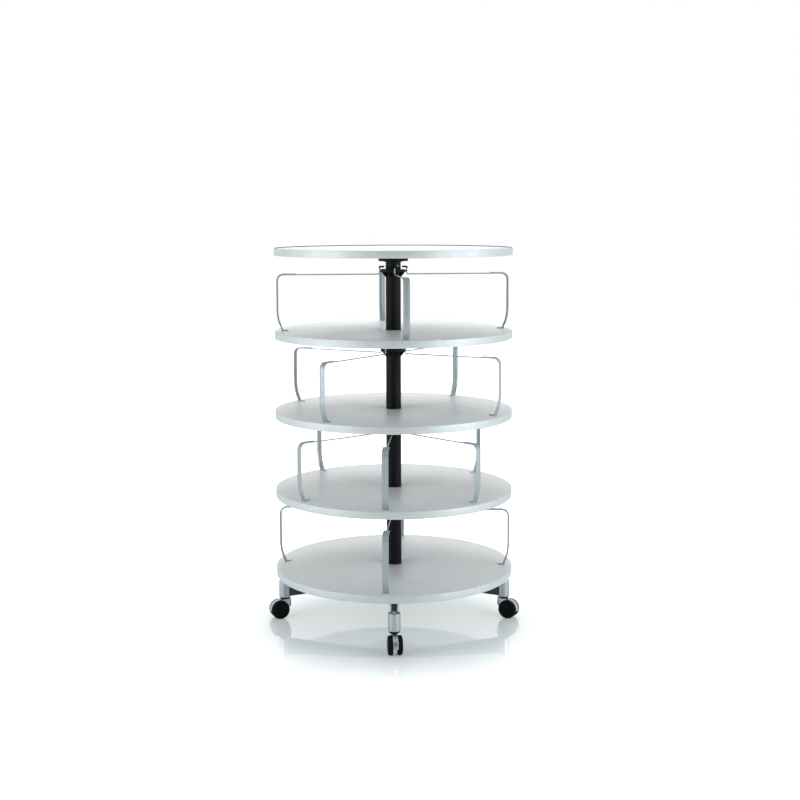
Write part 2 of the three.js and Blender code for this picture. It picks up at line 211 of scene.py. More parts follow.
class MediaTowerCasters(bpy.types.PropertyGroup):
    """Sizes of the casters."""

    wheel: length("Wheel radius", "Radius of a wheel", high("caster_front_wheel_a").z / 2)
    inner: length("Inner face", "Wheel's inner face from the middle of the caster", 0.0076)
    outer: length("Outer face", "Wheel's outer face from the middle of the caster", 0.025)
    boss: length("Wheel boss", "Radius of the boss that runs against the hood", 0.009)
    axle_wall: length("Axle cover", "Thickness of the wheel over the axle's end", 0.0033)
    hood: length("Hood radius", "Radius of the hood over the wheels", 0.0322)
    hood_width: length("Hood width", "Thickness of the hood between the wheels", 0.012)
    hood_edge: length("Hood edge", "Rounding of the hood's lower edges", 0.0016)
    hood_corner: length("Hood corner", "Rounding of the hood's upper back corner", 0.003)
    rim_width: length("Rim width", "Width of the hood's rim", 0.0164)
    rim_depth: length("Rim depth", "Thickness of the hood's rim", 0.0012)
    rim_edge: length("Rim edge", "Rounding of the rim's outer edges", 0.0009)
    hood_back: length("Hood back", "Swivel axis to the hood's straight back", 0.0196)
    hood_floor: length("Hood floor", "Height of the straight back's lower end", 0.038)
    hood_sill: length("Hood sill", "Height of the hood's lowest point", 0.017)
    hood_top: length("Hood top", "Height of the hood's level top", 0.066)
    axle: length("Axle radius", "Radius of the axle", 0.004)
    neck: length("Neck radius", "Radius of the swivel neck", 0.009)
    stem: length("Stem radius", "Radius of the swivel stem", 0.0052)


class MediaTowerDividers(bpy.types.PropertyGroup):
    """Sizes of the dividers."""

    wire: length("Wire radius", "Radius of the wire", 0.002)
    rail_rise: length("Rail height", "Height of the wire's rail over the shelf", 0.188)
    finger_rise: length("Finger height", "Height of the hook's finger over the shelf", 0.213)
    finger_tip: length("Finger tip", "Column axis to the finger's free end", 0.03)
    finger_sleeve: length("Finger sleeve", "Radius of the black sleeve on the finger", 0.003)
    hook: length("Hook reach", "Column axis to the hook's upright part", 0.046)
    hook_chamfer: length("Hook bend", "Size of the bends at the hook", 0.005)
    upright: length("Upright reach", "Column axis to the upright part of the wire", 0.388)
    corner: length("Corner radius", "Radius of the outer upper corner", 0.02)
    bow_rise: length("Bow height", "The upright leans inwards below this height", 0.072)
    bow_depth: length("Bow depth", "How far it leans in at the foot", 0.016)
    foot_bend: length("Foot bend", "Size of the bend at the foot", 0.004)
    foot: length("Foot length", "Length of the foot on the shelf", 0.015)
    strip_width: length("Strip width", "Width of the flat strip", 0.021)
    strip_thickness: length("Strip thickness", "Thickness of the flat strip", 0.002)
    strip_run: length("Strip run", "How far the strip runs along the rail", 0.04)
    clearance: length("Shelf clearance", "Gap between the foot and the shelf", 0.0003)


class MediaTowerFinishes(bpy.types.PropertyGroup):
    """Colours of the finishes."""

    laminate: colour("Laminate", "White laminate of the boards", (0.745, 0.77, 0.78))
    band: colour("Edge band", "Silver-grey edge band", (0.59, 0.655, 0.67))
    plastic: colour("Black plastic", "Hubs, sleeves, collars and sockets", (0.0048, 0.0056, 0.0062))
    steel: colour("Bright steel", "Column tube, bolts and axles", (0.60, 0.61, 0.62))
    screw: colour("Dulled steel", "Screws in the black mouldings", (0.10, 0.108, 0.112))
    graphite: colour("Graphite paint", "Base hub and arms", (0.034, 0.043, 0.047))
    silver: colour("Silver paint", "Posts and caster hoods", (0.41, 0.475, 0.50))
    cap: colour("Cap plastic", "Plugs in the posts", (0.15, 0.18, 0.19))
    # the boss's light colour is painted highlight: it stands in for the light that the cap's dome
    # catches
    boss: colour("Boss plastic", "Light boss on the plugs", (0.44, 0.48, 0.49))
    tread: colour("Tread rubber", "Treads of the casters", (0.0034, 0.0040, 0.0046))
    wheel: colour("Wheel plastic", "Discs of the wheels", (0.0032, 0.0038, 0.0044))
    divider: colour("Divider silver", "Wires and strips of the dividers", (0.37, 0.435, 0.46))


class MediaTowerStage(bpy.types.PropertyGroup):
    """Camera, lamps and floor."""

    camera_distance: length("Camera distance", "Column to camera, level", 4.4061)
    camera_height: length("Camera height", "Height of the camera", 1.3755)
    camera_pitch: turn("Camera pitch", "How far the camera looks down", math.radians(4.927))
    camera_roll: turn("Camera roll", "How far the picture is turned", math.radians(-0.17))
    lens: number("Lens", "Focal length on a 36 mm sensor", 58.998, unit="CAMERA")
    shift_x: number("Shift X", "Sideways lens shift", 0.00825)
    shift_y: number("Shift Y", "Upright lens shift", -0.09)
    floor: colour("Floor", "Pale floor", (0.78, 0.87, 0.875))
    # less white under the tower than away from it paints a soft shadow round the tower, over the
    # cast one
    floor_glow: share("Floor glow", "White that is added to the floor under the tower", 0.2)
    glow_start: length("Glow start", "Column to where the floor begins to turn plain white", 0.35)
    glow_end: length("Glow end", "Column to where the floor is all plain white", 0.9)
    left_lamp: number("Left lamp", "Power of the tall lamp on the left", 33.0)
    right_lamp: number("Right lamp", "Power of the tall lamp on the right", 41.0)
    top_lamp: number("Top lamp", "Power of the lamp above and behind", 44.0)
    sky: number("Sky", "Strength of the even light", 0.42)
    room: share("Room", "Brightness of the room in front, as shiny faces show it", 0.14)


# Outlines

def curve(start, middle, end, steps):
    """Points on a curve from start to end that heads for the middle point at both ends."""
    start, middle, end = Vector(start), Vector(middle), Vector(end)
    shares = [step / steps for step in range(steps + 1)]
    points = [start * (1 - t) ** 2 + middle * 2 * t * (1 - t) + end * t ** 2 for t in shares]
    return [tuple(point) for point in points]


def eased(points, radius=0, closed=True, steps=4):
    """Rounds the corners of a line. A point may carry its own radius as a third number."""
    count = len(points)
    line = []
    for i, point in enumerate(points):
        here = Vector(point[:2])
        own = point[2] if len(point) > 2 else radius
        if own == 0 or (not closed and i in (0, count - 1)):
            line.append(tuple(here))
            continue
        before = Vector(points[i - 1][:2]) - here
        after = Vector(points[(i + 1) % count][:2]) - here
        most = min(before.length, after.length) / 2.05  # just under half of the shorter side
        before, after = (side.normalized() * min(own, most) for side in (before, after))
        line += curve(here + before, here, here + after, steps)
    return line


def arc(x, y, radius, start, end, steps):
    """Points on a circle about (x, y), between two angles in degrees."""
    angles = [math.radians(start + (end - start) * i / steps) for i in range(steps + 1)]
    return [(x + radius * math.cos(a), y + radius * math.sin(a)) for a in angles]


# Meshes

def lathe(profile, steps=HUB_STEPS, sweep=TAU):
    """Turns (radius, height) points about Z, from axis to axis or as a closed line."""
    mesh = bmesh.new()
    whole = sweep == TAU
    stations = steps if whole else steps + 1
    rings = []
    for radius, height in profile:
        angles = [sweep * i / steps for i in range(stations if radius else 1)]
        rings.append([
            mesh.verts.new((radius * math.cos(a), radius * math.sin(a), height)) for a in angles
        ])
    pairs = list(zip(rings, rings[1:]))
    if profile[0][0] != 0:
        pairs.append((rings[-1], rings[0]))
    for lower, upper in pairs:
        for i in range(steps):
            j = (i + 1) % stations
            corners = [
                lower[i % len(lower)], lower[j % len(lower)],
                upper[j % len(upper)], upper[i % len(upper)],
            ]
            unique = list(dict.fromkeys(corners))
            if len(unique) > 2:
                mesh.faces.new(unique)
    if not whole:
        mesh.faces.new([ring[0] for ring in rings])
        mesh.faces.new([ring[-1] for ring in reversed(rings)])
    bmesh.ops.recalc_face_normals(mesh, faces=mesh.faces)
    return mesh


def spun(points, rounding=0, facets=HUB_STEPS, steps=4, sweep=TAU):
    """A lathe's mesh from an outline whose corners are rounded first."""
    return lathe(eased(points, rounding, points[0][0] != 0, steps), facets, sweep)


def sweep_line(path, section):
    """Carries a closed section, as (across, out) points, along a line of (x, z) points.

    Across is the Y direction, and out is square to the line, to its left.
    """
    mesh = bmesh.new()
    points = [Vector(point) for point in path]
    rings = []
    for i, point in enumerate(points):
        legs = []
        if i > 0:
            legs.append((point - points[i - 1]).normalized())
        if i < len(points) - 1:
            legs.append((points[i + 1] - point).normalized())
        along = sum(legs, Vector((0, 0))).normalized()
        stretch = 1 / max(along.dot(legs[0]), 0.5)
        left = Vector((-along.y, along.x)) * stretch
        rings.append([
            mesh.verts.new((point.x + left.x * out, across, point.y + left.y * out))
            for across, out in section
        ])
    for before, after in zip(rings, rings[1:]):
        for i in range(len(section)):
            j = (i + 1) % len(section)
            mesh.faces.new([before[i], before[j], after[j], after[i]])
    mesh.faces.new(list(reversed(rings[0])))
    mesh.faces.new(rings[-1])
    bmesh.ops.recalc_face_normals(mesh, faces=mesh.faces)
    return mesh


def rounded(mesh, edges, radius, steps):
    bmesh.ops.bevel(
        mesh, geom=edges, offset=radius, segments=steps, profile=0.5, affect="EDGES",
        clamp_overlap=True,
    )


def prism(outline, width, edge=0.0, steps=3):
    """An upright plate of (x, z) points, as thick across Y as the width, with round edges."""
    mesh = bmesh.new()
    near = [mesh.verts.new((x, -width / 2, z)) for x, z in outline]
    far = [mesh.verts.new((x, width / 2, z)) for x, z in outline]
    mesh.faces.new(near)
    mesh.faces.new(list(reversed(far)))
    for i in range(len(outline)):
        j = (i + 1) % len(outline)
        mesh.faces.new([near[i], near[j], far[j], far[i]])
    bmesh.ops.recalc_face_normals(mesh, faces=mesh.faces)
    if edge:
        sharp = [e for e in mesh.edges if e.is_manifold and e.calc_face_angle() > SMOOTH_ANGLE]
        rounded(mesh, sharp, edge, steps)
    return mesh


def shift(x, y, z):
    return Matrix.Translation((x, y, z))


def turned(angle, axis="Z"):
    return Matrix.Rotation(angle, 4, axis)


def placed(mesh, *matrices):
    for matrix in matrices:
        bmesh.ops.transform(mesh, matrix=matrix, verts=mesh.verts)
    return mesh


def joined(*parts):
    """Several meshes as one."""
    whole = bmesh.new()
    for part in parts:
        scratch = bpy.data.meshes.new("scratch")
        part.to_mesh(scratch)
        part.free()
        whole.from_mesh(scratch)
        bpy.data.meshes.remove(scratch)
    return whole


def as_object(mesh, name="scratch"):
    data = bpy.data.meshes.new(name)
    mesh.to_mesh(data)
    mesh.free()
    made = bpy.data.objects.new(name, data)
    bpy.context.scene.collection.objects.link(made)
    return made


def carved(mesh, tool, operation="DIFFERENCE"):
    """Cuts a closed mesh out of another, or with INTERSECT keeps only what lies inside it."""
    body, cutter = as_object(mesh), as_object(tool)
    cut = body.modifiers.new("cut", "BOOLEAN")
    cut.operation = operation
    cut.solver = "EXACT"
    cut.object = cutter
    bpy.context.view_layer.update()
    made = bmesh.new()
    made.from_mesh(body.evaluated_get(bpy.context.evaluated_depsgraph_get()).data)
    bmesh.ops.remove_doubles(made, verts=made.verts, dist=WELD)
    for scratch in (body, cutter):
        data = scratch.data
        bpy.data.objects.remove(scratch)
        bpy.data.meshes.remove(data)
    return made


def add_piece(name, mesh, kind, body, node_name):
    """Makes a mesh into a piece of that finish, which rides on a body in a CAD node's place."""
    piece = as_object(mesh, name)
    piece.data.materials.append(finish(kind))
    piece.data.shade_smooth()
    piece.data.set_sharp_from_angle(angle=SMOOTH_ANGLE)
    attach(piece, body)
    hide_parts(node_name)


# Shader nodes and the effects that the finishes share

def node(tree, kind, inputs=None, **settings):
    """A shader node with its settings and inputs; an input may be another node's output."""
    made = tree.nodes.new(kind)
    for key, value in settings.items():
        setattr(made, key, value)
    for key, value in (inputs or {}).items():
        if isinstance(value, bpy.types.NodeSocket):
            tree.links.new(value, made.inputs[key])
        else:
            made.inputs[key].default_value = value
    return made


def combined(tree, operation, first, second):
    """Two values as their sum, their product or the larger of them."""
    return node(tree, "ShaderNodeMath", {0: first, 1: second}, operation=operation).outputs[0]


def mapped(tree, value, start=0.0, end=1.0, first=0.0, last=1.0, run="LINEAR"):
    """Takes the stretch from start to end to the stretch from first to last."""
    return node(tree, "ShaderNodeMapRange", {
        "Value": value, "From Min": start, "From Max": end, "To Min": first, "To Max": last,
    }, interpolation_type=run).outputs["Result"]


def mix(tree, factor, first, second):
    """Blends two colours, each given as a colour or as another node's output."""
    inputs = {0: factor, 6: first, 7: second}
    return node(tree, "ShaderNodeMix", inputs, data_type="RGBA").outputs[2]


def object_place(tree):
    return node(tree, "ShaderNodeTexCoord").outputs["Object"]


def noise(tree, place, scale, detail, **more):
    inputs = {"Vector": place, "Scale": scale, "Detail": detail, **more}
    return node(tree, "ShaderNodeTexNoise", inputs).outputs["Fac"]


def new_group(name, inputs, outputs):
    """An empty group, with the sockets that give its inputs and those that take its outputs."""
    group = bpy.data.node_groups.new(name, "ShaderNodeTree")
    for label, default in inputs.items():
        socket = group.interface.new_socket(label, in_out="INPUT", socket_type="NodeSocketFloat")
        socket.default_value = default
    for label in outputs:
        group.interface.new_socket(label, in_out="OUTPUT", socket_type="NodeSocketFloat")
    given = group.nodes.new("NodeGroupInput").outputs
    return group, given, group.nodes.new("NodeGroupOutput").inputs


@cache
def fine_grain():
    """Two layers of fine noise, as a mask and a height."""
    inputs = {"Scale": 900.0, "Coarse Scale": 60.0}
    group, given, put = new_group("Fine Grain", inputs, ["Mask", "Height"])
    place = object_place(group)
    fine = noise(group, place, given["Scale"], 3.0, Roughness=0.6)
    coarse = noise(group, place, given["Coarse Scale"], 2.0)
    both = combined(group, "ADD", fine, coarse)
    group.links.new(mapped(group, both, 0.75, 1.25), put["Mask"])
    group.links.new(fine, put["Height"])
    return group


@cache
def metal_flakes():
    """Small cells of random brightness, as the flakes in a silver paint."""
    group, given, put = new_group("Metal Flakes", {"Scale": 1400.0}, ["Mask"])
    inputs = {"Vector": object_place(group), "Scale": given["Scale"]}
    cells = node(group, "ShaderNodeTexVoronoi", inputs).outputs["Color"]
    grey = node(group, "ShaderNodeSeparateColor", {"Color": cells}).outputs["Red"]
    group.links.new(grey, put["Mask"])
    return group


@cache
def handling_marks():
    """Soft patches where hands and dust have been, and thin dust on what faces up."""
    inputs = {"Scale": 9.0, "Dust": 0.3}
    group, given, put = new_group("Handling Marks", inputs, ["Patches", "Dust"])
    coordinates = node(group, "ShaderNodeTexCoord").outputs
    place = coordinates["Object"]
    patches = noise(group, place, given["Scale"], 4.0, Distortion=0.6)
    group.links.new(mapped(group, patches, 0.35, 0.7), put["Patches"])
    specks = mapped(group, noise(group, place, 420.0, 2.0), 0.5, 0.75)
    upward = node(group, "ShaderNodeSeparateXYZ", {"Vector": coordinates["Normal"]}).outputs["Z"]
    sprinkled = combined(group, "MULTIPLY", specks, mapped(group, upward, 0.55, 1.0))
    group.links.new(combined(group, "MULTIPLY", sprinkled, given["Dust"]), put["Dust"])
    return group


@cache
def rubbed_edges():
    """A thin mask along convex edges, where a finish is rubbed."""
    group, given, put = new_group("Rubbed Edges", {"Amount": 0.5}, ["Mask"])
    point = node(group, "ShaderNodeNewGeometry").outputs["Pointiness"]
    broken = mapped(group, noise(group, object_place(group), 160.0, 3.0), 0.35, 0.65)
    masked = combined(group, "MULTIPLY", mapped(group, point, 0.53, 0.62), broken)
    group.links.new(combined(group, "MULTIPLY", masked, given["Amount"]), put["Mask"])
    return group


@cache
def drawn_lines():
    """Fine lines that run along Z, as on drawn tube."""
    group, given, put = new_group("Drawn Lines", {"Scale": 500.0}, ["Mask", "Height"])
    inputs = {"Vector": object_place(group), "Scale": (1.0, 1.0, 0.01)}
    squeezed = node(group, "ShaderNodeMapping", inputs).outputs["Vector"]
    lines = noise(group, squeezed, given["Scale"], 3.0)
    group.links.new(mapped(group, lines, 0.3, 0.7), put["Mask"])
    group.links.new(lines, put["Height"])
    return group


def effect(tree, group, *values):
    """Places a shared group in a material, with the values of its inputs in their order."""
    return node(tree, "ShaderNodeGroup", dict(enumerate(values)), node_tree=group).outputs


# Finishes
#
# own: values on the shader's own sockets. grain: scales of its fine and its coarse noise.
# flakes, lines: their scale. tones: darkest and lightest share of the colour in the settings.
# clouds, rubbed: how strong they are, and their share of that colour. marks: scale of the
# patches and strength of the dust. dust, scuffs: their colour. rough: least and most roughness.
# depth: height of the bumps. bumps: which of the grain's outputs makes them.

DRAWN_STEEL = dict(
    own={"Metallic": 1.0}, lines=700.0, tones=(0.85, 1.1), marks=(25.0, 0.1),
    rough=(0.22, 0.38), depth=0.03 * MM,
)
SILVER_PAINT = dict(
    flakes=2600.0, grain=(600.0, 120.0), tones=(0.9, 1.1), rubbed=(0.35, 1.35),
    marks=(16.0, 0.2), dust=(0.45, 0.45, 0.44), rough=(0.28, 0.42), depth=0.05 * MM,
)
GLOSSY_PLASTIC = dict(
    own={"Coat Weight": 0.4, "Coat Roughness": 0.12}, grain=(900.0, 90.0), tones=(0.85, 1.15),
    marks=(30.0, 0.3), dust=(0.4, 0.4, 0.39), rough=(0.22, 0.34), depth=0.06 * MM,
)
RECIPES = {
    # white melamine with the faint pearl of its pressing plate
    "laminate": dict(
        label="White laminate", own={"Coat Weight": 0.12, "Coat Roughness": 0.25},
        grain=(1500.0, 22.0), tones=(0.97, 1.03), marks=(5.0, 0.25),
        dust=(0.62, 0.61, 0.59), rough=(0.34, 0.46), depth=0.03 * MM,
    ),
    # silver-grey edge band with a fine pearl speckle
    "band": dict(
        label="Silver edge band", own={"Metallic": 0.6}, flakes=1100.0, grain=(700.0, 45.0),
        tones=(0.84, 1.14), clouds=(0.35, 1.12), rubbed=(0.35, 1.3), marks=(7.0, 0.1),
        rough=(0.52, 0.62), depth=0.08 * MM,
    ),
    # black mouldings with a spark-eroded texture and rubbed edges
    "plastic": dict(
        label="Black moulded plastic", own={"Specular IOR Level": 0.11}, grain=(1200.0, 70.0),
        tones=(0.75, 1.35), rubbed=(0.4, 4.0), marks=(14.0, 0.35),
        dust=(0.10, 0.098, 0.095), rough=(0.36, 0.52), depth=0.12 * MM,
    ),
    "steel": dict(DRAWN_STEEL, label="Drawn steel"),
    # screws that were dulled so as not to show in the black mouldings
    "screw": dict(DRAWN_STEEL, label="Dulled screw steel"),
    # dark powder coat, with the low waves that such a coat dries to
    "graphite": dict(
        label="Graphite powder coat", own={"Specular IOR Level": 0.22}, grain=(800.0, 240.0),
        tones=(0.8, 1.25), rubbed=(0.5, 3.2), marks=(11.0, 0.4), dust=(0.24, 0.24, 0.23),
        rough=(0.38, 0.52), depth=0.12 * MM, bumps="Mask",
    ),
    "silver": dict(
        SILVER_PAINT, label="Silver paint",
        own={"Metallic": 0.85, "Coat Weight": 0.15, "Coat Roughness": 0.2},
    ),
    "divider": dict(
        SILVER_PAINT, label="Divider silver",
        own={"Metallic": 0.4, "Coat Weight": 0.1, "Coat Roughness": 0.3},
    ),
    "cap": dict(GLOSSY_PLASTIC, label="Grey cap plastic"),
    # a real boss whose light tone is painted highlight, the light caught by the cap's dome
    "boss": dict(GLOSSY_PLASTIC, label="Light boss plastic"),
    # rubber, dull and a little dusty where it meets the floor
    "tread": dict(
        label="Tread rubber", own={"Specular IOR Level": 0.06}, grain=(1000.0, 140.0),
        tones=(0.8, 1.5), marks=(22.0, 0.5), scuffs=(0.05, 0.049, 0.047),
        rough=(0.55, 0.75), depth=0.15 * MM,
    ),
    # black moulded wheel disc, smoother than the tread
    "wheel": dict(
        label="Wheel disc plastic", own={"Specular IOR Level": 0.08}, grain=(1500.0, 80.0),
        tones=(0.8, 1.3), rubbed=(0.6, 5.0), marks=(26.0, 0.3), rough=(0.28, 0.42),
        depth=0.06 * MM,
    ),
}
SCUFFING = 0.12  # the most that the tread's patches cover


def shade(rgb, factor=1.0):
    """An opaque colour, made lighter or darker."""
    return [min(channel * factor, 1.0) for channel in rgb] + [1.0]


def new_material(label, own):
    """A material with a Principled shader, whose own sockets are set by name."""
    material = bpy.data.materials.new(label)
    material.use_nodes = True
    shader = material.node_tree.nodes["Principled BSDF"]
    for key, value in own.items():
        shader.inputs[key].default_value = value
    return material, material.node_tree, shader


@cache
def finish(kind):
    """The finish of that kind, made from its recipe when it is first needed."""
    recipe = RECIPES[kind]
    rgb = getattr(bpy.context.scene.media_tower_finishes, kind)
    material, tree, shader = new_material(recipe["label"], recipe["own"])
    marks = effect(tree, handling_marks(), *recipe["marks"])
    if "lines" in recipe:
        grain = effect(tree, drawn_lines(), recipe["lines"])
    else:
        grain = effect(tree, fine_grain(), *recipe["grain"])
    speckle = effect(tree, metal_flakes(), recipe["flakes"]) if "flakes" in recipe else grain
    dark, light = recipe["tones"]
    base = mix(tree, speckle["Mask"], shade(rgb, dark), shade(rgb, light))
    if "clouds" in recipe:
        most, factor = recipe["clouds"]
        base = mix(tree, mapped(tree, grain["Mask"], last=most), base, shade(rgb, factor))
    if "rubbed" in recipe:
        amount, factor = recipe["rubbed"]
        base = mix(tree, effect(tree, rubbed_edges(), amount)["Mask"], base, shade(rgb, factor))
    if "dust" in recipe:
        base = mix(tree, marks["Dust"], base, shade(recipe["dust"]))
    duller = marks["Patches"]
    if "scuffs" in recipe:
        worn = mapped(tree, marks["Patches"], last=SCUFFING)
        base = mix(tree, worn, base, shade(recipe["scuffs"]))
        duller = grain["Mask"]
    least, most = recipe["rough"]
    bump = node(tree, "ShaderNodeBump", {
        "Height": grain[recipe.get("bumps", "Height")], "Distance": recipe["depth"],
        "Strength": 1.0,
    })
    tree.links.new(base, shader.inputs["Base Color"])
    tree.links.new(mapped(tree, duller, first=least, last=most), shader.inputs["Roughness"])
    tree.links.new(bump.outputs["Normal"], shader.inputs["Normal"])
    return material


# Boards

def laminate_disc(sizes, node_name, bore, drop, edge_gap):
    """A board without its band, with broken edges and, on a shelf, its bore."""
    floor, top = span(node_name)
    edge, face = sizes.radius - sizes.band - edge_gap, top - drop
    outline = [(bore, floor), (edge, floor), (edge, face), (bore, face)]
    return spun(outline, sizes.arris, ROUND_STEPS, steps=2)


def top_painted_shade_ring(sizes):
    """A black ring that lines the raised rim of the top: painted shade, standing in for the shaded
    inner wall of the rim.
    """
    top = high("top_board").z
    outer = sizes.radius - sizes.band - sizes.joint / 5
    inner, floor = outer - sizes.seal, top - 3 * sizes.top_rim
    outline = [(inner, floor), (outer, floor), (outer, top), (inner, top)]
    return spun(outline, sizes.arris, ROUND_STEPS, steps=3)


def edge_band(sizes, node_name):
    """The band is one strip whose two ends meet in a fine seam at the back."""
    floor, top = span(node_name)
    inner, outer = sizes.radius - sizes.band, sizes.radius
    outline = [
        (inner, floor, sizes.arris), (outer, floor), (outer, top), (inner, top, sizes.arris),
    ]
    seam = sizes.joint / outer
    band = spun(outline, sizes.band_round, ROUND_STEPS, sweep=TAU - seam)
    return placed(band, turned(QUARTER + seam / 2))


class BuildBoards(bpy.types.Operator):
    """Make the laminated boards"""

    bl_idname = "media_tower.boards"
    bl_label = "Boards"

    def execute(self, context):
        sizes = context.scene.media_tower_boards
        top = laminate_disc(sizes, "top_board", 0, sizes.top_rim, sizes.seal + sizes.joint)
        add_piece("top_board_laminate", top, "laminate", "frame", "top_board")
        # this black ring inside the top's rim is painted shade for the rim's shaded inner wall
        add_piece("top_board_seal", top_painted_shade_ring(sizes), "plastic", "frame", "top_board")
        for tier in TIERS:
            board = f"{tier}_board"
            disc = laminate_disc(sizes, board, sizes.bore, 0, sizes.joint)
            add_piece(f"{tier}_laminate", disc, "laminate", tier, board)
        return {"FINISHED"}


class BuildEdgeBands(bpy.types.Operator):
    """Make the edge bands round the boards"""

    bl_idname = "media_tower.edge_bands"
    bl_label = "Edge bands"

    def execute(self, context):
        sizes = context.scene.media_tower_boards
        for name, body in [("top_board", "frame"), *[(f"{tier}_board", tier) for tier in TIERS]]:
            band = edge_band(sizes, name)
            add_piece(f"{name}_edge_band", band, "band", body, name)
        return {"FINISHED"}


# Hubs and column

def shelf_hub(hubs, node_name, tier):
    """A shelf hub: drum, sleeve, and the ring with its low lip."""
    floor, top = span(node_name)
    drum_top = floor + hubs.drum_depth
    bore = hubs.tube + PLAY
    ring_floor = shelf_top(tier) + hubs.ring_rise
    ring_top = ring_floor + hubs.ring_thickness
    lip = hubs.fillet
    return spun([
        (bore, floor),
        (hubs.race + lip, floor),
        (hubs.race + 2 * lip, floor + lip),
        (hubs.drum - 4 * lip, floor + lip),
        (hubs.drum - 3 * lip, floor),
        (hubs.drum, floor),
        (hubs.drum, drum_top),
        (hubs.sleeve, drum_top),
        (hubs.sleeve, ring_floor, 2 * lip),
        (hubs.ring, ring_floor),
        (hubs.ring, ring_top),
        (hubs.ring - 2 * lip, ring_top),
        (hubs.ring - 3 * lip, ring_top - lip),
        (hubs.sleeve, ring_top - lip, 2 * lip),
        (hubs.sleeve, top),
        (bore, top),
    ], lip)


def hub_ribs(hubs, tier, count=8):
    """Short gussets that carry the ring from below."""
    ring_floor = shelf_top(tier) + hubs.ring_rise
    foot, half = ring_floor - (hubs.ring - hubs.sleeve), hubs.rib / 2
    outline = [
        (hubs.sleeve - half, ring_floor + half), (hubs.sleeve - half, foot),
        (hubs.sleeve + half, foot), (hubs.ring - hubs.rib, ring_floor - half),
        (hubs.ring - hubs.rib, ring_floor + half),
    ]
    turns = [TAU * (i + 0.5) / count for i in range(count)]
    return [placed(prism(outline, hubs.rib, hubs.rib / 5, 2), turned(angle)) for angle in turns]


def cross_recess(radius, depth):
    """The body that leaves the cross in a screw's head, which hangs below the height zero."""
    arm, half = radius * 0.48, radius * 0.11
    quarter = [Vector(point) for point in ((arm, -half), (arm, half), (half, half))]
    outline = [Matrix.Rotation(QUARTER * i, 2) @ point for i in range(4) for point in quarter]
    return placed(prism(outline, depth), turned(QUARTER, "X"), shift(0, 0, -depth))


def screw_heads(radius, reach, height, count=4):
    """Pan-head screws under a drum, seen from below."""
    side, depth, face = radius * 0.35, radius * 0.7, radius * 0.55
    outline = [(0, 0), (radius, 0), (radius, -side), (face, -depth), (0, -depth)]
    heads = []
    for i in range(count):
        head = carved(spun(outline, radius * 0.3, SMALL_STEPS // 2), cross_recess(radius, depth))
        heads.append(placed(head, shift(reach, 0, height), turned(TAU * (i + 0.5) / count)))
    return heads


class BuildShelfHubs(bpy.types.Operator):
    """Make the hubs that the shelves turn on"""

    bl_idname = "media_tower.shelf_hubs"
    bl_label = "Shelf hubs"

    def execute(self, context):
        hubs = context.scene.media_tower_hubs
        reach = (hubs.race + hubs.drum) / 2
        for tier in TIERS:
            name = f"{tier}_hub"
            moulding = joined(shelf_hub(hubs, name, tier), *hub_ribs(hubs, tier))
            add_piece(f"{name}_moulding", moulding, "plastic", tier, name)
            screws = joined(*screw_heads(hubs.screw, reach, low(name).z + hubs.fillet))
            add_piece(f"{name}_screws", screws, "screw", tier, name)
        return {"FINISHED"}


def clamp_place(hubs, floor):
    """Takes a body that stands on its own axis to a collar's clamping screw."""
    lift = shift(hubs.sleeve, 0, floor + hubs.clamp_rise)
    return turned(hubs.clamp_turn) @ lift @ turned(QUARTER, "Y")


def clamp_seat(hubs, floor):
    """The body that leaves the countersunk seat of a clamping screw."""
    bore, depth, sink = hubs.clamp + PLAY, hubs.clamp, 3 * PLAY
    rim = bore + 2 * sink
    outline = [(0, -depth), (bore, -depth), (bore, -sink), (rim, sink), (rim, depth), (0, depth)]
    return placed(lathe(outline, SMALL_STEPS), clamp_place(hubs, floor))


def clamp_screw(hubs, floor):
    """A socket screw that clamps a collar on the tube."""
    top, depth, key = hubs.clamp_proud, hubs.clamp - PLAY, hubs.clamp / 2
    outline = [(0, -depth), (hubs.clamp, -depth), (hubs.clamp, top), (0, top)]
    recess = lathe([(0, -top), (key, -top), (key, depth), (0, depth)], 6)
    return placed(carved(spun(outline, top / 2, SMALL_STEPS), recess), clamp_place(hubs, floor))


class BuildCollars(bpy.types.Operator):
    """Make the collars that carry the shelves"""

    bl_idname = "media_tower.collars"
    bl_label = "Support collars"

    def execute(self, context):
        hubs = context.scene.media_tower_hubs
        bore = hubs.tube + PLAY
        for tier in TIERS[:-1]:
            name = f"{tier}_support_collar"
            floor, top = span(name)
            race_floor = top - hubs.race_thickness
            sleeve = spun([
                (bore, floor), (hubs.sleeve, floor), (hubs.sleeve, race_floor),
                (hubs.race, race_floor), (hubs.race, top), (bore, top),
            ], hubs.fillet / 2)
            collar = carved(sleeve, clamp_seat(hubs, floor))
            add_piece(f"{name}_moulding", collar, "plastic", "frame", name)
            screw = clamp_screw(hubs, floor)
            add_piece(f"{name}_screw", screw, "screw", "frame", name)
        return {"FINISHED"}


class BuildTopHub(bpy.types.Operator):
    """Make the hub that holds the fixed top"""

    bl_idname = "media_tower.top_hub"
    bl_label = "Top hub"

    def execute(self, context):
        hubs = context.scene.media_tower_hubs
        floor, top = span("top_hub")
        drum_floor = top - hubs.top_drum
        bore, roof = hubs.tube + PLAY, high("column_tube").z + PLAY
        drum = spun([
            (0, roof), (bore, roof, 0), (bore, floor), (hubs.sleeve, floor),
            (hubs.sleeve, drum_floor, 2 * hubs.fillet), (hubs.drum, drum_floor),
            (hubs.drum, top), (0, top),
        ], hubs.fillet)
        moulding = carved(drum, clamp_seat(hubs, floor))
        add_piece("top_hub_moulding", moulding, "plastic", "frame", "top_hub")
        reach = (hubs.sleeve + hubs.drum) / 2
        heads = screw_heads(hubs.screw, reach, drum_floor)
        screws = joined(*heads, clamp_screw(hubs, floor))
        add_piece("top_hub_screws", screws, "screw", "frame", "top_hub")
        return {"FINISHED"}


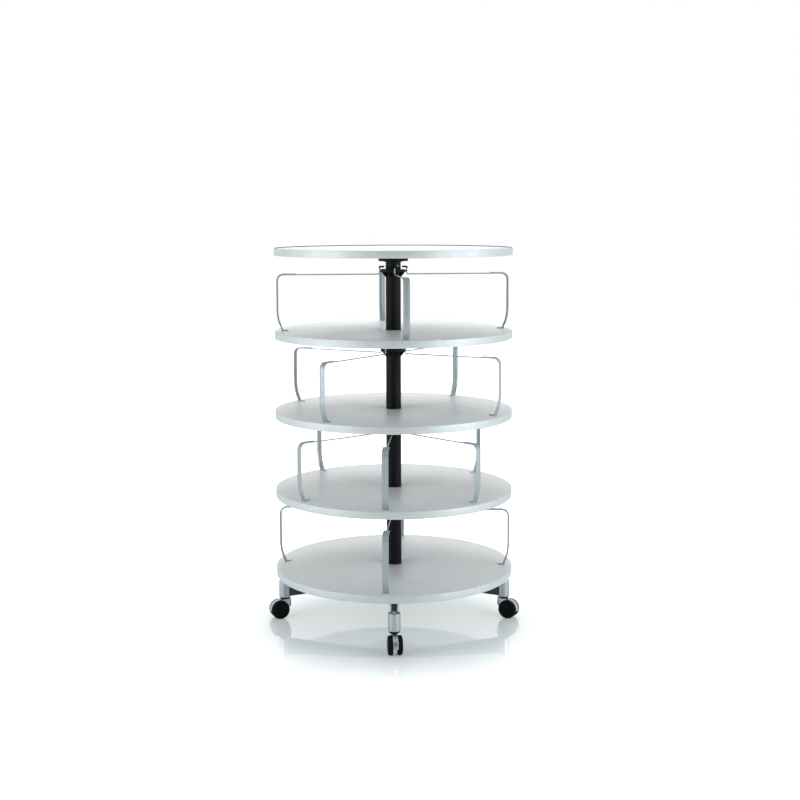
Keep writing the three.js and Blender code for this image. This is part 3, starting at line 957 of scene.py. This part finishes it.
class BuildColumn(bpy.types.Operator):
    """Make the column tube"""

    bl_idname = "media_tower.column"
    bl_label = "Column tube"

    def execute(self, context):
        hubs = context.scene.media_tower_hubs
        floor, top = span("column_tube")
        inner, outer = hubs.tube - hubs.tube_wall, hubs.tube
        tube = spun([(inner, floor), (outer, floor), (outer, top), (inner, top)], 0.4 * MM)
        add_piece("column_drawn_tube", tube, "steel", "frame", "column_tube")
        return {"FINISHED"}


# Base

def hex_bolt(base):
    """A hexagon head and its washer, hanging below the height zero."""
    radius, depth, washer = base.bolt_radius, base.bolt_head, base.bolt_washer
    head = lathe([(0, -depth), (radius, -depth), (radius, -washer), (0, -washer)], 6)
    face, chamfer, clear = radius * 0.84, radius * 0.12, radius * 1.02
    cone = lathe([
        (0, -depth), (face, -depth), (clear, chamfer - depth), (clear, depth), (0, depth),
    ], SMALL_STEPS)
    rim = radius * 1.12
    ring = spun([(0, -washer), (rim, -washer), (rim, 0), (0, 0)], washer / 3, SMALL_STEPS)
    return joined(carved(head, cone, "INTERSECT"), ring)


class BuildBaseHub(bpy.types.Operator):
    """Make the base hub and the bolts of the arms"""

    bl_idname = "media_tower.base_hub"
    bl_label = "Base hub"

    def execute(self, context):
        base = context.scene.media_tower_base
        hubs = context.scene.media_tower_hubs
        bolt_floor, race_top = span("base_hub")
        floor = bolt_floor + base.bolt_head
        shoulder = race_top - hubs.race_thickness
        flange_top = floor + base.flange_thickness
        bore = hubs.tube + PLAY
        casting = spun([
            (0, floor), (base.flange, floor), (base.flange, flange_top),
            (base.hub, flange_top, 0.8 * MM), (base.hub, shoulder, 3 * MM),
            (hubs.race, shoulder, 0.5 * MM), (hubs.race, race_top, 0.6 * MM),
            (bore, race_top, 0.6 * MM), (bore, flange_top, 0), (0, flange_top),
        ], 1.2 * MM)
        add_piece("base_hub_casting", casting, "graphite", "frame", "base_hub")
        bolts = [
            placed(hex_bolt(base), shift(reach, 0, floor), turned(QUARTER * i))
            for reach in (base.bolt_inner, base.bolt_outer) for i in range(4)
        ]
        add_piece("base_hub_bolts", joined(*bolts), "steel", "frame", "base_hub")
        return {"FINISHED"}


def post_place(place):
    """The direction in which a post stands from the column, and how far out."""
    centre = Vector(joint(f"caster_{place}_swivel")["pos_m"])
    return math.atan2(centre.y, centre.x), math.hypot(centre.x, centre.y)


def at_post(mesh, place):
    angle, reach = post_place(place)
    return placed(mesh, shift(reach, 0, 0), turned(angle))


class BuildArms(bpy.types.Operator):
    """Make the four arms"""

    bl_idname = "media_tower.arms"
    bl_label = "Arms"

    def execute(self, context):
        base = context.scene.media_tower_base
        root, root_top = low("arm_right").x, high("arm_right").z
        root_floor = low("base_hub").z + base.bolt_head + base.flange_thickness + PLAY
        width = high("arm_right").y - low("arm_right").y
        for place in PLACES:
            angle, reach = post_place(place)
            post_radius = radius_of(f"post_{place}")
            lower = curve(
                (reach - post_radius, base.arm_tip_floor), (base.arm_bend, root_floor),
                (base.arm_flat, root_floor), 24,
            )
            plate = prism([
                (root, root_top), (reach, base.arm_tip_top), (reach, base.arm_tip_floor),
                *lower, (root, root_floor),
            ], width, base.arm_edge)
            gap = post_radius + PLAY
            hole = lathe([(0, 0), (gap, 0), (gap, 2 * root_top), (0, 2 * root_top)])
            arm = placed(carved(plate, placed(hole, shift(reach, 0, 0))), turned(angle))
            name = f"arm_{place}"
            add_piece(f"{name}_casting", arm, "graphite", "frame", name)
        return {"FINISHED"}


class BuildPosts(bpy.types.Operator):
    """Make the four posts and their caps"""

    bl_idname = "media_tower.posts"
    bl_label = "Posts"

    def execute(self, context):
        base = context.scene.media_tower_base
        for place in PLACES:
            post, cap = f"post_{place}", f"post_cap_{place}"
            floor, top = span(post)
            radius, rim = radius_of(post), radius_of(cap)
            cap_floor = low(cap).z
            bore = base.socket + PLAY
            bore_top = high(f"caster_socket_{place}").z + PLAY
            tube = spun([
                (0, bore_top), (bore, bore_top, 0), (bore, floor, 0.4 * MM),
                (radius, floor, 0.8 * MM), (radius, top, base.post_rounding),
                (rim + PLAY, top, 0.5 * MM), (rim + PLAY, cap_floor - PLAY, 0),
                (0, cap_floor - PLAY),
            ], steps=8)
            add_piece(f"{post}_tube", at_post(tube, place), "silver", "frame", post)
            ledge, inner = cap_floor + base.cap_gap, rim - base.cap_gap
            seat, seat_floor = base.boss + base.cap_gap / 2, top - 1.2 * MM
            plug = spun([
                (0, cap_floor), (rim, cap_floor, 0.3 * MM), (rim, ledge, 0.2 * MM),
                (inner, ledge, 0.2 * MM), (inner, top, 1.2 * MM),
                (seat, top + 0.2 * MM, 0.4 * MM), (seat, seat_floor, 0), (0, seat_floor),
            ], steps=5)
            add_piece(f"{cap}_plug", at_post(plug, place), "cap", "frame", cap)
            # a raised boss on the cap; its light finish is painted highlight for the dome's catch
            # of light
            boss = spun([
                (0, seat_floor), (base.boss, seat_floor, 0),
                (base.boss, top + 0.5 * MM, 0.6 * MM), (base.boss * 0.55, top + MM, 2 * MM),
                (0, top + 1.1 * MM),
            ], facets=SMALL_STEPS, steps=5)
            add_piece(f"{cap}_boss", at_post(boss, place), "boss", "frame", cap)
        return {"FINISHED"}


class BuildSockets(bpy.types.Operator):
    """Make the sockets that the casters' stems stand in"""

    bl_idname = "media_tower.sockets"
    bl_label = "Caster sockets"

    def execute(self, context):
        base = context.scene.media_tower_base
        bore = context.scene.media_tower_casters.stem + PLAY
        for place in PLACES:
            name = f"caster_socket_{place}"
            floor, top = span(name)
            radius = radius_of(name)
            collar_top = low(f"post_{place}").z - PLAY
            bush = spun([
                (bore, floor), (radius - MM, floor), (radius, collar_top - MM),
                (radius, collar_top), (base.socket, collar_top, 0.4 * MM),
                (base.socket, top), (bore, top),
            ], 0.6 * MM)
            add_piece(
                f"{name}_bush", at_post(bush, place), "plastic", "frame", name
            )
        return {"FINISHED"}


# Casters

def caster_pose(place):
    """A caster's swivel axis, the direction and length of its trail, and its axle's height."""
    swivel = Vector(joint(f"caster_{place}_swivel")["pos_m"])
    wheel = Vector(joint(f"caster_{place}_wheel_a_spin")["pos_m"])
    trail = (wheel - swivel).xy
    return swivel, math.atan2(trail.y, trail.x), trail.length, wheel.z


def on_caster(mesh, place):
    swivel, angle = caster_pose(place)[:2]
    return placed(mesh, turned(angle), shift(swivel.x, swivel.y, 0))


def hood_line(sizes, trail, axle_height, inset):
    """The hood's outer line, set inwards: up its back, along its top and round its crest."""
    back, top, corner = inset - sizes.hood_back, sizes.hood_top - inset, sizes.hood_corner
    behind = [(back, sizes.hood_floor), (back, top), (back + 2 * corner, top)]
    crest = arc(trail, axle_height, sizes.hood - inset, 95, -10, 28)
    return [*eased(behind, corner, closed=False), (trail - sizes.hood / 3, top), *crest]


def hood_mesh(sizes, trail, axle_height):
    """The plate between the wheels, and the rim that reaches over their inner edges."""
    outer = hood_line(sizes, trail, axle_height, 0)
    inner = hood_line(sizes, trail, axle_height, sizes.rim_depth)
    web = [*hood_line(sizes, trail, axle_height, PLAY), (trail, sizes.hood_sill)]
    plate = prism(web, sizes.hood_width, sizes.hood_edge, 4)
    rim = prism([*outer, *reversed(inner)], sizes.rim_width)
    rim.verts.index_update()
    count = len(outer)
    crown = []  # the rim's edges along its outer line, on both of its faces
    for edge in rim.edges:
        first, last = (vert.index for vert in edge.verts)
        outside = all(index % (2 * count) < count for index in (first, last))
        if outside and abs(first - last) == 1:
            crown.append(edge)
    rounded(rim, crown, sizes.rim_edge, 4)
    return joined(plate, rim)


class BuildCasterBodies(bpy.types.Operator):
    """Make the casters' hoods, stems and axles"""

    bl_idname = "media_tower.caster_bodies"
    bl_label = "Caster bodies"

    def execute(self, context):
        sizes = context.scene.media_tower_casters
        stem_floor = sizes.hood_top - 2 * MM
        half = sizes.outer - sizes.axle_wall - PLAY
        for place in PLACES:
            body, name = f"caster_{place}", f"caster_{place}_body"
            trail, axle_height = caster_pose(place)[2:]
            neck_top = low(f"caster_socket_{place}").z - PLAY
            neck = spun([
                (0, sizes.hood_top - 6 * MM), (sizes.neck, sizes.hood_top - 3 * MM, MM),
                (sizes.neck, neck_top), (0, neck_top),
            ], 0.4 * MM, SMALL_STEPS)
            hood = on_caster(joined(hood_mesh(sizes, trail, axle_height), neck), place)
            add_piece(f"{name}_hood", hood, "silver", body, name)
            stem_top = high(name).z
            stem = spun([
                (0, stem_floor), (sizes.stem, stem_floor, 0), (sizes.stem, stem_top),
                (0, stem_top),
            ], 1.2 * MM, SMALL_STEPS)
            pin = [(0, -half), (sizes.axle, -half), (sizes.axle, half), (0, half)]
            axle = placed(
                spun(pin, 0.6 * MM, SMALL_STEPS), turned(QUARTER, "X"),
                shift(trail, 0, axle_height),
            )
            pins = on_caster(joined(stem, axle), place)
            add_piece(f"{name}_pins", pins, "steel", body, name)
        return {"FINISHED"}


def wheel_meshes(sizes, trail, axle_height, side):
    """One wheel's tread and disc, about Z first, then laid on the axle."""
    width = sizes.outer - sizes.inner
    bore, bore_end = sizes.axle + PLAY, sizes.outer - sizes.axle_wall
    boss_face = sizes.hood_width / 2 + PLAY

    def at(radius_share, width_share, rounding):
        """A point of the wheel's section, and its rounding in millimetres."""
        return sizes.wheel * radius_share, sizes.inner + width * width_share, rounding * MM

    tread = spun([
        at(0.80, 0.016, 0.4), at(0.93, 0, 2), at(1, 0.08, 2.4), at(1, 0.64, 5),
        at(0.88, 0.86, 3), at(0.80, 0.895, 0.5),
    ], steps=6)
    disc = spun([
        (0, bore_end), (bore, bore_end, 0), (bore, boss_face, 0.4 * MM),
        (sizes.boss, boss_face, 0.6 * MM), (sizes.boss, sizes.inner + width / 4, MM),
        at(0.74, 0.25, 1), at(0.78, 0.01, 0.5), at(0.797, 0.01, 0.3), at(0.797, 0.885, 0.3),
        at(0.77, 0.905, 0.6), at(0.73, 0.875, 0.6), at(0.69, 0.912, 0.6), at(0.30, 0.962, 2),
        at(0.27, 0.940, 0.4), at(0.24, 0.970, 0.8), (0, sizes.outer),
    ])
    lay = turned(-QUARTER * side, "X"), shift(trail, 0, axle_height)
    return placed(tread, *lay), placed(disc, *lay)


class BuildWheels(bpy.types.Operator):
    """Make the casters' wheels"""

    bl_idname = "media_tower.wheels"
    bl_label = "Caster wheels"

    def execute(self, context):
        sizes = context.scene.media_tower_casters
        for place in PLACES:
            trail, axle_height = caster_pose(place)[2:]
            for letter, side in (("a", 1), ("b", -1)):
                name = f"caster_{place}_wheel_{letter}"
                meshes = wheel_meshes(sizes, trail, axle_height, side)
                tread, disc = (on_caster(mesh, place) for mesh in meshes)
                add_piece(f"{name}_tread", tread, "tread", name, name)
                add_piece(f"{name}_disc", disc, "wheel", name, name)
        return {"FINISHED"}


# Dividers

def circle(radius, steps=14):
    """A wire's section."""
    angles = [TAU * i / steps for i in range(steps)]
    return [(math.cos(angle) * radius, math.sin(angle) * radius) for angle in angles]


def wire_line(sizes):
    """The wire's line from its hook to its foot, and that line's corner and bow by themselves."""
    foot_rise = sizes.wire + sizes.clearance
    foot_start = sizes.upright - sizes.bow_depth
    rail_end = sizes.upright - sizes.corner
    hook = eased([
        (sizes.finger_tip, sizes.finger_rise), (sizes.hook, sizes.finger_rise),
        (sizes.hook, sizes.rail_rise), (rail_end, sizes.rail_rise),
    ], sizes.hook_chamfer, closed=False, steps=6)
    corner = arc(rail_end, sizes.rail_rise - sizes.corner, sizes.corner, 90, 0, 12)
    bow = curve(
        (sizes.upright, sizes.bow_rise), (sizes.upright, sizes.bow_rise / 2),
        (foot_start, foot_rise + sizes.foot_bend), 14,
    )
    foot = eased([
        bow[-2], (foot_start, foot_rise), (foot_start - sizes.foot_bend - sizes.foot, foot_rise),
    ], sizes.foot_bend, closed=False, steps=6)
    return [*hook[:-1], *corner, *bow[:-1], *foot[1:]], corner, bow


def divider_strip(sizes, corner, bow):
    """A flat strip with two shallow grooves, whose back clips on the wire."""
    half, back, outer = sizes.strip_width / 2, sizes.wire, sizes.wire + sizes.strip_thickness
    groove, bottom = sizes.strip_width / 30, outer - sizes.strip_thickness / 6
    clip, clip_end = sizes.wire * 1.15, -sizes.wire / 2
    face = []
    for middle in (-half * 0.55, half * 0.55):
        face += [
            (middle - groove, outer, 0.2 * MM), (middle - groove / 2, bottom, 0.2 * MM),
            (middle + groove / 2, bottom, 0.2 * MM), (middle + groove, outer, 0.2 * MM),
        ]
    section = eased([
        (-half, outer, 0.7 * MM), *face, (half, outer, 0.7 * MM), (half, back, 0.5 * MM),
        (clip, back, 0.3 * MM), (clip, clip_end, 0.3 * MM), (-clip, clip_end, 0.3 * MM),
        (-clip, back, 0.3 * MM), (-half, back, 0.5 * MM),
    ], steps=2)
    start = (sizes.upright - sizes.corner - sizes.strip_run, sizes.rail_rise)
    end = (bow[-1][0], 1.5 * MM)  # just over the shelf
    return sweep_line([start, *corner, *bow[:-1], end], section)


def finger_sleeve(sizes):
    """The black sleeve over the finger of a hook and round its bend."""
    bend = eased([
        (sizes.finger_tip - sizes.clearance, sizes.finger_rise), (sizes.hook, sizes.finger_rise),
        (sizes.hook, sizes.finger_rise - sizes.hook_chamfer),
    ], sizes.hook_chamfer, closed=False, steps=6)
    return sweep_line(bend, circle(sizes.finger_sleeve))


class BuildDividers(bpy.types.Operator):
    """Make the swinging wire dividers"""

    bl_idname = "media_tower.dividers"
    bl_label = "Dividers"

    def execute(self, context):
        sizes = context.scene.media_tower_dividers
        line, corner, bow = wire_line(sizes)
        bare_width = 3 * sizes.wire  # a node no wider than this has no strip
        for name, tier in [(name, tier) for tier in TIERS for name in dividers_of(tier)]:
            place = shift(0, 0, shelf_top(tier)), turned(azimuth_of(name))
            wire = placed(sweep_line(line, circle(sizes.wire)), *place)
            add_piece(f"{name}_wire", wire, "divider", name, name)
            sleeve = placed(finger_sleeve(sizes), *place)
            add_piece(f"{name}_finger_sleeve", sleeve, "plastic", name, name)
            if width_of(name) > bare_width:
                strip = placed(divider_strip(sizes, corner, bow), *place)
                add_piece(f"{name}_strip", strip, "divider", name, name)
        return {"FINISHED"}


# Stage

def fade(tree, value, start, end, first, last):
    return mapped(tree, value, start, end, first, last, "SMOOTHSTEP")


def floor_finish(stage):
    """Glossy floor that keeps the shadow; white is added to it, more so away from the tower, so the
    floor round the tower is painted darker as a soft painted shadow.
    """
    own = {"Roughness": 0.04, "IOR": 2.1, "Base Color": [*stage.floor, 1.0]}
    material, tree, shader = new_material("Studio floor", own)
    inputs = {0: object_place(tree)}
    reach = node(tree, "ShaderNodeVectorMath", inputs, operation="LENGTH").outputs["Value"]
    # the low share near the tower is painted shadow, seen alike by the camera and in shiny faces
    outward = fade(tree, reach, stage.glow_start, stage.glow_end, stage.floor_glow, 1.0)
    rays = node(tree, "ShaderNodeLightPath").outputs
    strength = combined(tree, "MULTIPLY", rays["Is Camera Ray"], outward)
    added = node(tree, "ShaderNodeEmission", {"Color": WHITE, "Strength": strength}).outputs[0]
    lit = node(tree, "ShaderNodeAddShader", {0: shader.outputs[0], 1: added}).outputs[0]
    in_gloss = combined(tree, "MULTIPLY", rays["Is Glossy Ray"], outward)
    plain = node(tree, "ShaderNodeEmission", {"Color": WHITE, "Strength": 1.0}).outputs[0]
    both = node(tree, "ShaderNodeMixShader", {0: in_gloss, 1: lit, 2: plain})
    tree.links.new(both.outputs[0], tree.nodes["Material Output"].inputs["Surface"])
    return material


def light_world(stage):
    """Even light; camera and shiny faces see a white backdrop, and these a duller room in front."""
    world = bpy.data.worlds.new("Studio")
    world.use_nodes = True
    tree = world.node_tree
    even = tree.nodes["Background"]
    even.inputs["Color"].default_value = WHITE
    even.inputs["Strength"].default_value = stage.sky
    around = node(tree, "ShaderNodeTexCoord").outputs["Generated"]
    heading = node(tree, "ShaderNodeSeparateXYZ", {"Vector": around}).outputs["Y"]
    backdrop = fade(tree, heading, -0.95, -0.1, stage.room, 1.0)
    rays = node(tree, "ShaderNodeLightPath").outputs
    strength = combined(tree, "MAXIMUM", backdrop, rays["Is Camera Ray"])
    white = node(tree, "ShaderNodeBackground", {"Color": WHITE, "Strength": strength})
    clear = combined(tree, "MAXIMUM", rays["Is Glossy Ray"], rays["Is Transmission Ray"])
    seen = combined(tree, "MAXIMUM", clear, rays["Is Camera Ray"])
    inputs = {0: seen, 1: even.outputs[0], 2: white.outputs[0]}
    mixed = node(tree, "ShaderNodeMixShader", inputs)
    tree.links.new(mixed.outputs[0], tree.nodes["World Output"].inputs["Surface"])
    return world


def area_lamp(name, place, width, height, power):
    """A soft lamp that is turned to the middle of the tower."""
    lamp = bpy.data.lights.new(name, "AREA")
    lamp.shape = "RECTANGLE"
    lamp.size, lamp.size_y = width, height
    lamp.energy = power
    made = bpy.data.objects.new(name, lamp)
    made.location = place
    heading = Vector((0, 0, 0.65)) - Vector(place)
    made.rotation_euler = heading.to_track_quat("-Z", "Y").to_euler()
    bpy.context.scene.collection.objects.link(made)


class BuildStage(bpy.types.Operator):
    """Make the floor, the lamps and the camera"""

    bl_idname = "media_tower.stage"
    bl_label = "Stage"

    def execute(self, context):
        scene = context.scene
        stage = scene.media_tower_stage
        mesh = bmesh.new()
        bmesh.ops.create_grid(mesh, x_segments=1, y_segments=1, size=FLOOR_REACH)
        floor = as_object(mesh, "studio_floor")
        floor.data.materials.append(floor_finish(stage))
        scene.world = light_world(stage)
        area_lamp("left_lamp", (-2.6, -1.6, 1.1), 2.2, 2.0, stage.left_lamp)
        area_lamp("right_lamp", (2.6, -1.6, 1.1), 2.2, 2.0, stage.right_lamp)
        area_lamp("top_lamp", (0, 1.9, 3.0), 1.6, 1.6, stage.top_lamp)
        lens = bpy.data.cameras.new("camera")
        lens.lens = stage.lens
        lens.sensor_width = 36.0
        lens.shift_x, lens.shift_y = stage.shift_x, stage.shift_y
        camera = bpy.data.objects.new("camera", lens)
        camera.location = (0, -stage.camera_distance, stage.camera_height)
        tilt = turned(QUARTER - stage.camera_pitch, "X")
        camera.rotation_euler = (tilt @ turned(stage.camera_roll)).to_euler()
        scene.collection.objects.link(camera)
        scene.camera = camera
        scene.view_settings.view_transform = "Standard"
        return {"FINISHED"}


class MediaTowerPanel(bpy.types.Panel):
    """Lists the pieces of the tower"""

    bl_idname = "VIEW3D_PT_media_tower"
    bl_label = "Media Tower"
    bl_space_type = "VIEW_3D"
    bl_region_type = "UI"
    bl_category = "Media Tower"

    def draw(self, context):
        for operator in OPERATORS:
            self.layout.operator(operator.bl_idname)
        for name, group in SETTINGS.items():
            section = self.layout.box()
            section.label(text=group.__doc__)
            values = getattr(context.scene, name)
            for key in group.__annotations__:
                section.prop(values, key)


SETTINGS = {
    "media_tower_boards": MediaTowerBoards,
    "media_tower_hubs": MediaTowerHubs,
    "media_tower_base": MediaTowerBase,
    "media_tower_casters": MediaTowerCasters,
    "media_tower_dividers": MediaTowerDividers,
    "media_tower_finishes": MediaTowerFinishes,
    "media_tower_stage": MediaTowerStage,
}
OPERATORS = (
    BuildBoards,
    BuildEdgeBands,
    BuildShelfHubs,
    BuildCollars,
    BuildTopHub,
    BuildColumn,
    BuildBaseHub,
    BuildArms,
    BuildPosts,
    BuildSockets,
    BuildCasterBodies,
    BuildWheels,
    BuildDividers,
    BuildStage,
)


def register():
    for group in SETTINGS.values():
        bpy.utils.register_class(group)
    for name, group in SETTINGS.items():
        setattr(bpy.types.Scene, name, PointerProperty(type=group))
    for operator in OPERATORS:
        bpy.utils.register_class(operator)
    bpy.utils.register_class(MediaTowerPanel)


def unregister():
    bpy.utils.unregister_class(MediaTowerPanel)
    for operator in reversed(OPERATORS):
        bpy.utils.unregister_class(operator)
    for name in SETTINGS:
        delattr(bpy.types.Scene, name)
    for group in reversed(SETTINGS.values()):
        bpy.utils.unregister_class(group)


def main():
    register()
    for operator in OPERATORS:
        family, name = operator.bl_idname.split(".")
        getattr(getattr(bpy.ops, family), name)()


if __name__ == "__main__":
    main()
